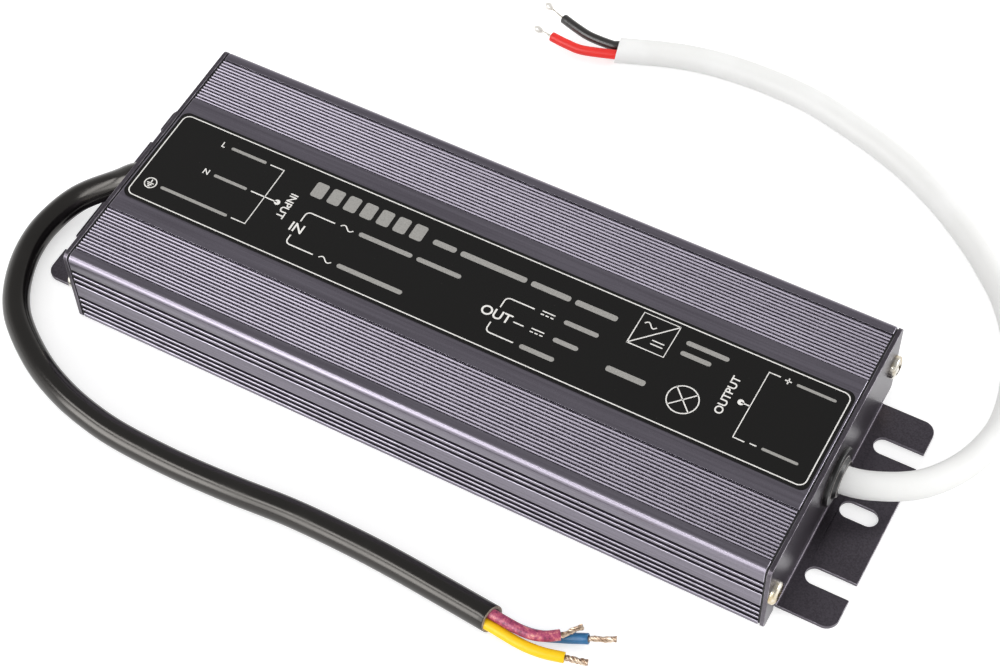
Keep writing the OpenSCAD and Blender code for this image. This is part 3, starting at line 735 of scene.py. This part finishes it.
def make_bead(name, line, length, radius, material):
    """Drop of solder on the last stretch of a line."""
    path = Path(line, 0.3*MM)
    start = path.length - length
    steps = np.linspace(0.04, 0.98, 14)
    profile = [(start + length*t, radius*math.sin(math.pi*t**1.4)**0.6) for t in steps]
    mesh = swept_mesh(name, path, [(start, 0)] + profile + [(path.length, 0)], bead_sides)
    mesh.materials.append(material)
    return new_object(name, mesh)


def join(name, pieces):
    """One object from several, in the order given."""
    whole = bmesh.new()
    materials = []
    for piece in pieces:
        for material in piece.data.materials:
            if material not in materials:
                materials.append(material)
    for piece in pieces:
        start = len(whole.faces)
        whole.from_mesh(piece.data)
        whole.faces.ensure_lookup_table()
        own = [materials.index(m) for m in piece.data.materials]
        for face in whole.faces[start:]:
            face.material_index = own[face.material_index] if own else 0
        bpy.data.objects.remove(piece)
    mesh = bpy.data.meshes.new(name)
    whole.to_mesh(mesh)
    whole.free()
    for material in materials:
        mesh.materials.append(material)
    return new_object(name, mesh)


def make_leads():
    mains, mains_path = make_lead(
        "mains_lead", INPUT_LINE, -tube_half, black_sheath, black_rim, (0, -0.14, 0.2))
    output, output_path = make_lead(
        "output_lead", OUTPUT_LINE, tube_half, white_sheath, white_sheath, (0, 0.14, 0.13))

    brown_line = core_line(mains_path, 0.5*MM, 1.3*MM, [(8, 0, 1.3), (12, 1, 1.3), (15, 3, 1.2)])
    blue_line = core_line(mains_path, 1.2*MM, -1.2*MM, [(9, 1.6, -1.5), (15, 3.8, -1.5), (20.5, 5.6, -0.1)])
    yellow_line = core_line(mains_path, -1.6*MM, 0, [(8, -2.3, -0.1), (13, -2, -0.1), (18, -0.8, -0.1)])
    red_line = core_line(output_path, 1.5*MM, 0, [(-8, -4, -0.1), (-12.5, -4, -0.1), (-17, -3.5, -0.1)])
    black_line = core_line(output_path, -1.5*MM, 0, [(-8, 0.8, 0.1), (-12.5, 1.8, 0.1), (-17, 3.2, 0.1)])
    brown, brown_path = make_core("brown_wire", brown_line, core_finishes["brown_core"])
    blue, blue_path = make_core("blue_wire", blue_line, core_finishes["blue_core"])
    yellow, yellow_path = make_core("yellow_wire", yellow_line, core_finishes["yellow_core"])
    red, red_path = make_core("red_wire", red_line, core_finishes["red_core"])
    black, black_path = make_core("black_wire", black_line, core_finishes["black_core"])

    brown_bare = strand_line(brown_path, mains_path, (18.4, 6.9, 1.5))
    blue_bare = strand_line(blue_path, mains_path, (26, 7.8, 0.7))
    yellow_bare = strand_line(yellow_path, mains_path, (22.9, 0.4, -0.1))
    mains_strands = join("mains_strands", [
        make_strands("brown_bare", brown_bare, copper_tinned, Seed=2),
        make_strands("blue_bare", blue_bare, copper_tinned, Seed=5, Strands=16),
        make_strands("yellow_bare", yellow_bare, copper_tinned, Seed=8, Strands=16),
    ])
    thin = {"Strands": 5, "Bundle_Radius": 0.2*MM, "Strand_Radius": 0.12*MM, "Fray": 0.0}
    red_bare = strand_line(red_path, output_path, (-22.5, -2.7, -0.1))
    black_bare = strand_line(black_path, output_path, (-23.5, 5.6, 0.1))
    output_strands = join("output_strands_bare", [
        make_strands("red_bare", red_bare, tinned, Seed=3, **thin),
        make_bead("red_bead", red_bare, 3.1*MM, 0.9*MM, solder),
        make_strands("black_bare", black_bare, tinned, Seed=6, **thin),
        make_bead("black_bead", black_bare, 3*MM, 0.95*MM, solder),
    ])

    place_piece(mains, ["input_cable"])
    place_piece(output, ["output_cable"])
    for piece, node in ((brown, "brown_core"), (blue, "blue_core"), (yellow, "yellow_core"),
                        (red, "red_core"), (black, "black_core")):
        place_piece(piece, [node])
    place_piece(mains_strands, ["input_strands"])
    place_piece(output_strands, ["output_strands"])


make_leads()


# Tube and end plates

def crisp_copy(name, node, materials, edge, smooth_below, share=None):
    """Copy of a solid with whole flat faces, broken edges in a lighter second finish as a painted highlight,
    and smooth round faces.
    """
    mesh = nodes[node].data.copy()
    mesh.name = name
    shape = bmesh.new()
    shape.from_mesh(mesh)
    bmesh.ops.remove_doubles(shape, verts=shape.verts, dist=weld_gap)
    bmesh.ops.dissolve_limit(shape, angle_limit=flat_below, verts=shape.verts, edges=shape.edges)
    weight = shape.edges.layers.float.new("bevel_weight_edge")
    for line in shape.edges:
        if line.calc_face_angle(0) > broken_above:
            line[weight] = share((line.verts[0].co + line.verts[1].co)/2) if share else 1
    shape.to_mesh(mesh)
    shape.free()
    mesh.materials.clear()
    for material in materials:
        mesh.materials.append(material)
    mesh.shade_smooth()
    mesh.set_sharp_from_angle(angle=smooth_below)
    piece = new_object(name, mesh)
    bevel = piece.modifiers.new("broken_edges", "BEVEL")
    bevel.width = edge
    bevel.segments = 2
    bevel.limit_method = "WEIGHT"
    bevel.material = 1
    bevel.harden_normals = True
    bevel.use_clamp_overlap = False
    return plain_mesh(piece)


def tube_share(point):
    """Share of the full edge break: little along the ridges, all of it elsewhere."""
    on_ridges = point.z > tube_high.z - ridge_zone and abs(point.x) < tube_half/2
    return ridge_break_share if on_ridges else 1


def mark_depth(piece):
    """Stores how deep each point lies below the tube's outer faces, and which faces are slopes of ridges."""
    points = np.empty(3*len(piece.data.vertices))
    piece.data.vertices.foreach_get("co", points)
    across, height = points.reshape(-1, 3)[:, 1:].T
    from_side = tube_high.y - abs(across)
    from_top = tube_high.z - height
    depth = np.minimum(np.minimum(from_side, from_top), height)
    edge = top_edge_r
    near_edge = (from_side < edge) & (from_top < edge)
    rounded = edge - np.hypot(edge - from_side, edge - from_top)
    depth = np.where(near_edge, rounded, depth)
    piece.data.attributes.new("depth", "FLOAT", "POINT").data.foreach_set("value", depth)
    inside = tube_high.y - 2*edge
    ridge_floor = tube_high.z - ridge_zone
    # Faces marked here as slopes get painted shade in the tube's finish.
    flattest, steepest = 0.9, 0.5
    slopes = [
        float(face.center.z > ridge_floor and abs(face.center.y) < inside
              and steepest < face.normal.z < flattest)
        for face in piece.data.polygons
    ]
    piece.data.attributes.new("slope", "FLOAT", "FACE").data.foreach_set("value", slopes)
    return piece


# Edge finishes are lighter than the faces they break: a painted highlight along the edges, partly worn coat.
tube_finishes = (anodised_tube(), rubbed_edge("tube_edge", "#b0abb7", "#a09ba7"))
sheet_finishes = (plate_sheet(), rubbed_edge("plate_edge", "#97929a", "#5f5a62"))
# The grommet edge finish is lighter rubber: a painted highlight on the grommet's broken edges.
rubber_finishes = (
    plain_finish("grommet_rubber", "#191818", "#0d0c0c", 0.3, grain=1500),
    plain_finish("grommet_edge", "#8a8583", "#5f5b59", 0.35, grain=1500),
)
tube = crisp_copy("ribbed_tube", "housing", tube_finishes, tube_break, math.radians(38), tube_share)
place_piece(mark_depth(tube), ["housing"])
for end in ("input", "output"):
    plate = crisp_copy(end + "_plate", end + "_end_plate", sheet_finishes, plate_break, math.radians(30))
    place_piece(plate, [end + "_end_plate"])
    collar = crisp_copy(end + "_collar", end + "_grommet", rubber_finishes, grommet_break, math.radians(40))
    place_piece(collar, [end + "_grommet"])


# Screws

def screw_head():
    """Pan head along +X with a cross recess, its seat on x = 0."""
    height = screw_high.x - plate_face
    brim = 0.42
    crown = [
        (height*(brim + (1 - brim)*math.sin(a)), screw_head_r*math.cos(a)**0.8)
        for a in np.linspace(0.05, math.pi/2 - 0.12, 10)
    ]
    path = Path([(0, 0, 0), (height, 0, 0)], height/4)
    mesh = swept_mesh("screw_head", path, [(0, 0), (0, screw_head_r)] + crown + [(height, 0)], 32)
    head = new_object("screw_head", mesh)
    cutter = bmesh.new()
    recess_span = 3.4*MM
    recess_w = 0.9*MM
    middle = Matrix.Translation((height, 0, 0))
    size = Matrix.Diagonal((height*1.4, recess_span, recess_w, 1))
    for turn in (0, math.pi/2):
        bmesh.ops.create_cube(cutter, size=1, matrix=middle @ Matrix.Rotation(turn, 4, "X") @ size)
    cut_mesh = bpy.data.meshes.new("recess")
    cutter.to_mesh(cut_mesh)
    cutter.free()
    recess = new_object("recess", cut_mesh)
    hole = head.modifiers.new("recess", "BOOLEAN")
    hole.object = recess
    hole.operation = "DIFFERENCE"
    hole.solver = "EXACT"
    hole.use_self = True
    plain_mesh(head)
    bpy.data.objects.remove(recess)
    shape = bmesh.new()
    shape.from_mesh(head.data)
    bmesh.ops.remove_doubles(shape, verts=shape.verts, dist=2*weld_gap)
    bmesh.ops.dissolve_degenerate(shape, dist=2*weld_gap, edges=shape.edges)
    shape.to_mesh(head.data)
    shape.free()
    return head


def screw_tree(head):
    """One head at each point, turned out of its end of the tube and round its own axis."""
    graph, given = empty_tree("end_screws", {"Material": ("Material", None)})
    shape = graph.add("GeometryNodeObjectInfo", None, {"Object": head})["Geometry"]
    kind = {"data_type": "FLOAT_VECTOR"}
    turn = graph.add("GeometryNodeInputNamedAttribute", kind, {"Name": "turn"})["Attribute"]
    inputs = {"Points": given["Geometry"], "Instance": shape, "Rotation": turn}
    heads = graph.add("GeometryNodeInstanceOnPoints", None, inputs)["Instances"]
    return close_tree(graph, heads, given["Material"])


def make_screws():
    head = screw_head()
    middle = (screw_low.z + screw_high.z)/2
    across = screw_high.y - screw_head_r
    turns = {(-1, -1): 0.3, (-1, 1): 1.1, (1, -1): 0.5, (1, 1): 0.15}
    mesh = bpy.data.meshes.new("end_screw_heads")
    mesh.from_pydata([(end*plate_face, side*across, middle) for end, side in turns], [], [])
    turned = mesh.attributes.new("turn", "FLOAT_VECTOR", "POINT")
    for entry, (end, side) in zip(turned.data, turns):
        entry.vector = (turns[(end, side)], 0, 0 if end > 0 else math.pi)
    piece = grow("end_screw_heads", mesh, screw_tree(head), Material=screw_metal())
    bpy.data.objects.remove(head)
    piece.data.shade_smooth()
    piece.data.set_sharp_from_angle(angle=math.radians(35))
    place_piece(piece, ["end_screws"])


make_screws()


# Label print

def line_tree():
    """Printed lines: rounded corners and a flat section."""
    graph, given = empty_tree("printed_lines", {
        "Width": ("Float", 0.32*MM),
        "Thickness": ("Float", print_t),
        "Corner": ("Float", 1.0*MM),
        "Material": ("Material", None),
    })
    line = graph.add("GeometryNodeMeshToCurve", None, {"Mesh": given["Geometry"]})["Curve"]
    inputs = {"Curve": line, "Count": 8, "Radius": given["Corner"], "Limit Radius": True}
    rounded = graph.add("GeometryNodeFilletCurve", {"mode": "POLY"}, inputs)["Curve"]
    level = graph.add("GeometryNodeSetCurveNormal", {"mode": "Z_UP"}, {"Curve": rounded})["Curve"]
    inputs = {"Width": given["Width"], "Height": given["Thickness"]}
    section = graph.add("GeometryNodeCurvePrimitiveQuadrilateral", {"mode": "RECTANGLE"}, inputs)["Curve"]
    inputs = {"Curve": level, "Profile Curve": section, "Fill Caps": True}
    strips = graph.add("GeometryNodeCurveToMesh", None, inputs)["Mesh"]
    return close_tree(graph, strips, given["Material"])


def field_tree():
    """Printed fields: closed outlines filled and raised to the thickness of the ink."""
    graph, given = empty_tree("printed_fields", {
        "Level": ("Float", print_z),
        "Thickness": ("Float", print_t),
        "Material": ("Material", None),
    })
    outline = graph.add("GeometryNodeMeshToCurve", None, {"Mesh": given["Geometry"]})["Curve"]
    flat = graph.add("GeometryNodeFillCurve", {"mode": "NGONS"}, {"Curve": outline})["Mesh"]
    rise = graph.add("ShaderNodeCombineXYZ", None, {"Z": given["Thickness"]})["Vector"]
    inputs = {"Mesh": flat, "Offset": rise, "Offset Scale": 1.0, "Individual": False}
    raised = graph.add("GeometryNodeExtrudeMesh", {"mode": "FACES"}, inputs)["Mesh"]
    under = graph.add("GeometryNodeFlipFaces", None, {"Mesh": flat})["Mesh"]
    both = graph.add("GeometryNodeJoinGeometry", None, {"Geometry": raised})
    graph.feed(both.node, {"Geometry": under})
    inputs = {"Geometry": both["Geometry"], "Distance": weld_gap}
    closed = graph.add("GeometryNodeMergeByDistance", None, inputs)["Geometry"]
    level = graph.add("ShaderNodeCombineXYZ", None, {"Z": given["Level"]})["Vector"]
    placed = graph.add("GeometryNodeSetPosition", None, {"Geometry": closed, "Offset": level})["Geometry"]
    return close_tree(graph, placed, given["Material"])


def edge_mesh(name, lines, z, closed):
    """Mesh of edges alone, from lines given as points in millimetres."""
    points = []
    edges = []
    for line in lines:
        start = len(points)
        count = len(line)
        points += [(x*MM, y*MM, z) for x, y in line]
        edges += [(start + i, start + (i + 1) % count) for i in range(count if closed else count - 1)]
    mesh = bpy.data.meshes.new(name)
    mesh.from_pydata(points, edges, [])
    return mesh


def flat_lines(name, lines, tree, **sizes):
    """Lines on the film, each a list of points in millimetres."""
    mesh = edge_mesh(name, lines, print_z + print_t/2, False)
    return grow(name, mesh, tree, Material=ink, **sizes)


def flat_fields(name, outlines, tree, material):
    """Fields on the film, each a closed outline in millimetres."""
    return grow(name, edge_mesh(name, outlines, 0, True), tree, Material=material)


def rounded_frame(x, y, corner):
    """Closed outline with round corners, as one line that ends where it starts."""
    points = []
    for k, (sx, sy) in enumerate(((1, 1), (-1, 1), (-1, -1), (1, -1))):
        for i in range(9):
            a = math.pi/2*(k + i/8)
            points.append((sx*(x - corner) + corner*math.cos(a), sy*(y - corner) + corner*math.sin(a)))
    return points + [points[0]]


def circle(x, y, radius, count=40):
    return [(x + radius*math.cos(TURN*i/count), y + radius*math.sin(TURN*i/count)) for i in range(count + 1)]


def wave(x, y, length, height):
    return [(x + length*(i/16 - 0.5), y + height*math.sin(TURN*i/16)) for i in range(17)]


def bar(left, y, height, length):
    """Outline of a bar with round corners."""
    corner = min(height/2, 0.6)
    outline = rounded_frame(length/2, height/2, corner)[:-1]
    return [(left + length/2 + dx, y + dy) for dx, dy in outline]


def bar_rows(rows):
    """Outlines of rows of bars. A row is (left end, middle height, bar height, lengths of its bars)."""
    gap = 1.2
    found = []
    for left, y, height, lengths in rows:
        for length in lengths:
            found.append(bar(left, y, height, length))
            left += length + gap
    return found


def dc_sign(left, y):
    """Lines of the direct-current sign: a long stroke over three short ones."""
    low = y - 0.9
    return [
        [(left, y), (left + 3.2, y)],
        [(left, low), (left + 0.8, low)],
        [(left + 1.2, low), (left + 2, low)],
        [(left + 2.4, low), (left + 3.2, low)],
    ]


def word(text, x, y, height, turn):
    """Generic mark as a flat mesh, with its middle at a point of the film."""
    capital_share = 0.7
    curve = bpy.data.curves.new(text, "FONT")
    curve.body = text
    curve.size = height*MM/capital_share
    curve.align_x = "CENTER"
    curve.align_y = "CENTER"
    curve.extrude = print_t/2
    curve.offset = 0.02*height*MM
    piece = new_object("mark_" + str(len(bpy.data.objects)), curve)
    graph = bpy.context.evaluated_depsgraph_get()
    mesh = bpy.data.meshes.new_from_object(piece.evaluated_get(graph))
    bpy.data.objects.remove(piece)
    mesh.transform(Matrix.Translation((x*MM, y*MM, print_z + print_t/2)) @ Matrix.Rotation(turn, 4, "Z"))
    mesh.materials.clear()
    mesh.materials.append(ink)
    return new_object("mark", mesh)


def make_print():
    lines = line_tree()
    fields = field_tree()
    half_x = film_high.x/MM - 0.9
    half_y = film_high.y/MM - 0.85
    border = flat_lines("border", [rounded_frame(half_x, half_y, 1.8)], lines, Width=0.28*MM, Corner=0.0)
    brackets = flat_lines("brackets", [
        [(-60.25, 9.25), (-56.5, 9.25), (-56.5, -8.25), (-60.25, -8.25)],
        [(-60.25, 0.5), (-53.1, 0.5)],
        [(70.25, 10.25), (67.5, 10.25), (67.5, -8.6), (70.25, -8.6)],
        [(67.5, 0.25), (65.3, 0.25)],
    ], lines, Corner=0.0)
    braces = flat_lines("braces", [
        [(-38, 1.4), (-45.4, 1.4), (-45.4, -1.7)],
        [(-38, -8.6), (-45.4, -8.6), (-45.4, -6.1)],
        [(14, 1.4), (6.9, 1.4), (6.9, -1.7)],
        [(11.4, -3.9), (14, -3.9)],
        [(14, -8.9), (6.9, -8.9), (6.9, -6.2)],
    ], lines, Corner=1.1*MM)
    symbols = flat_lines("symbols", [
        circle(-82.4, -8.25, 1.45),
        [(-82.4, -7.2), (-82.4, -8.3)], [(-83.3, -8.3), (-81.5, -8.3)],
        [(-83, -8.75), (-81.8, -8.75)], [(-82.7, -9.2), (-82.1, -9.2)],
        [(36.2, 3), (45.2, 3), (45.2, 12), (36.2, 12), (36.2, 3)], [(36.2, 3), (45.2, 12)],
        wave(39, 9.4, 3, 0.6),
        [(41, 6), (44, 6)], [(41, 5), (44, 5)],
        circle(53.8, -5, 3.6), [(51.25, -7.55), (56.35, -2.45)], [(51.25, -2.45), (56.35, -7.55)],
        wave(-34.8, 1.4, 3.4, 0.55), wave(-34.8, -8.6, 3.4, 0.55),
        *dc_sign(15.8, 1.8), *dc_sign(15.8, -3.5),
        [(71.4, 10), (73, 10)], [(72.2, 9.2), (72.2, 10.8)], [(71.4, -8.4), (73, -8.4)],
    ], lines, Width=0.29*MM, Corner=0.0)
    bars = flat_fields("bars", bar_rows([
        (-47.6, 8, 4.4, (3.2,)*7),
        (-15.4, 7.4, 1.5, (6, 17, 10, 10.5)),
        (-31.6, 1.4, 1.2, (14, 11.5)),
        (-31.6, -8.6, 1.2, (17,)),
        (21.4, 1.4, 1.2, (8.6,)),
        (21.4, -3.9, 1.2, (6.2,)),
        (15.6, -8.9, 1.2, (8.6,)),
        (48, 9, 1.2, (10.4,)),
        (48, 6, 1.2, (7.4,)),
        (35.2, -5.2, 1.5, (9.6,)),
        (-71, 9.25, 0.8, (9.6,)),
        (-70.4, 0.5, 0.8, (9,)),
        (-79.6, -8.25, 0.8, (18.2,)),
        (74.2, 10, 0.7, (9.4,)),
        (74.2, -8.4, 0.7, (8.6,)),
    ]), fields, soft_ink)
    dots = flat_fields("dots", [circle(-53.1, 0.5, 0.75)[:-1], circle(65.3, 0.25, 0.75)[:-1]], fields, ink)
    words = [
        word("INPUT", -50.6, 0.6, 1.9, -math.pi/2),
        word("OUTPUT", 62, 0.6, 1.9, math.pi/2),
        word("IN", -45.2, -3.9, 2.5, 0),
        word("OUT", 7, -3.9, 2.5, 0),
        word("L", -73.2, 9.25, 1.5, 0),
        word("N", -72.6, 0.5, 1.5, 0),
    ]
    printed = join("label_print", [border, brackets, braces, symbols, bars, dots, *words])
    place_piece(printed)


make_print()


# Studio

def seen_directly(graph):
    """1 for what the camera sees, straight or in gloss or glass, and 0 for soft light."""
    rays = graph.add("ShaderNodeLightPath")
    return rays["Is Camera Ray"].larger(rays["Is Glossy Ray"]).larger(rays["Is Transmission Ray"])


def studio_floor():
    """Pale floor that looks white and keeps the object's shadow."""
    shade = (0.78, 0.78, 0.78, 1)
    lift = 0.52
    mesh = bpy.data.meshes.new("studio_floor")
    reach = 4
    depth = -0.02*MM
    corners = [(-reach, -reach, depth), (reach, -reach, depth), (reach, reach, depth), (-reach, reach, depth)]
    mesh.from_pydata(corners, [], [(0, 1, 2, 3)])
    material = bpy.data.materials.new("studio_floor")
    material.use_nodes = True
    material.node_tree.nodes.clear()
    graph = Graph(material.node_tree)
    seen = seen_directly(graph)
    paper = graph.add("ShaderNodeBsdfDiffuse", None, {"Color": shade})["BSDF"]
    glow = graph.add("ShaderNodeEmission", None, {"Color": (1, 1, 1, 1), "Strength": seen*lift})["Emission"]
    both = graph.add("ShaderNodeAddShader", None, {0: paper, 1: glow})["Shader"]
    graph.add("ShaderNodeOutputMaterial", None, {"Surface": both})
    mesh.materials.append(material)
    new_object("studio_floor", mesh)


def studio_world():
    """White room: darker overhead in gloss, and even for soft light."""
    soft_light = 0.89
    overhead_fall = 0.55
    world = bpy.data.worlds.new("studio")
    scene.world = world
    world.use_nodes = True
    world.node_tree.nodes.clear()
    graph = Graph(world.node_tree)
    rays = graph.add("ShaderNodeLightPath")
    camera = rays["Is Camera Ray"]
    gloss = rays["Is Glossy Ray"].larger(rays["Is Transmission Ray"])
    way = graph.add("ShaderNodeTexCoord")["Generated"]
    rise = graph.add("ShaderNodeSeparateXYZ", None, {"Vector": way})["Z"]
    inputs = {"Value": rise, "From Min": 0.15, "From Max": 0.65}
    overhead = graph.add("ShaderNodeMapRange", {"interpolation_type": "SMOOTHSTEP"}, inputs)["Result"]
    mirrored = 1 - overhead*overhead_fall
    strength = camera + (1 - camera)*(gloss*mirrored + (1 - gloss)*soft_light)
    sky = graph.add("ShaderNodeBackground", None, {"Color": (1, 1, 1, 1), "Strength": strength})["Background"]
    graph.add("ShaderNodeOutputWorld", None, {"Surface": sky})


def soft_box(name, way, distance, size, radiance, only_gloss=False):
    """Rectangular lamp that looks at the object from a direction. It may show in glossy surfaces alone."""
    data = bpy.data.lights.new(name, "AREA")
    data.shape = "RECTANGLE"
    data.size, data.size_y = size
    data.energy = radiance*math.pi*size[0]*size[1]
    lamp = bpy.data.objects.new(name, data)
    lamp.visible_diffuse = not only_gloss
    scene.collection.objects.link(lamp)
    toward = Vector(way).normalized()
    turned = toward.to_track_quat("Z", "Y").to_matrix().to_4x4()
    lamp.matrix_world = Matrix.Translation(toward*distance) @ turned


studio_floor()
studio_world()
soft_box("front_box", (-0.382, -0.838, 0.391), 1.0, (0.95, 0.5), 3.1)
soft_box("left_box", (-0.521, -0.802, 0.292), 0.98, (0.5, 0.5), 3, True)
soft_box("high_strip", (-0.304, -0.596, 0.743), 0.98, (1.0, 0.2), 6, True)
soft_box("end_box", (0.82, 0.49, 0.28), 1.0, (0.5, 0.4), 5.2)
scene.view_settings.view_transform = "Standard"
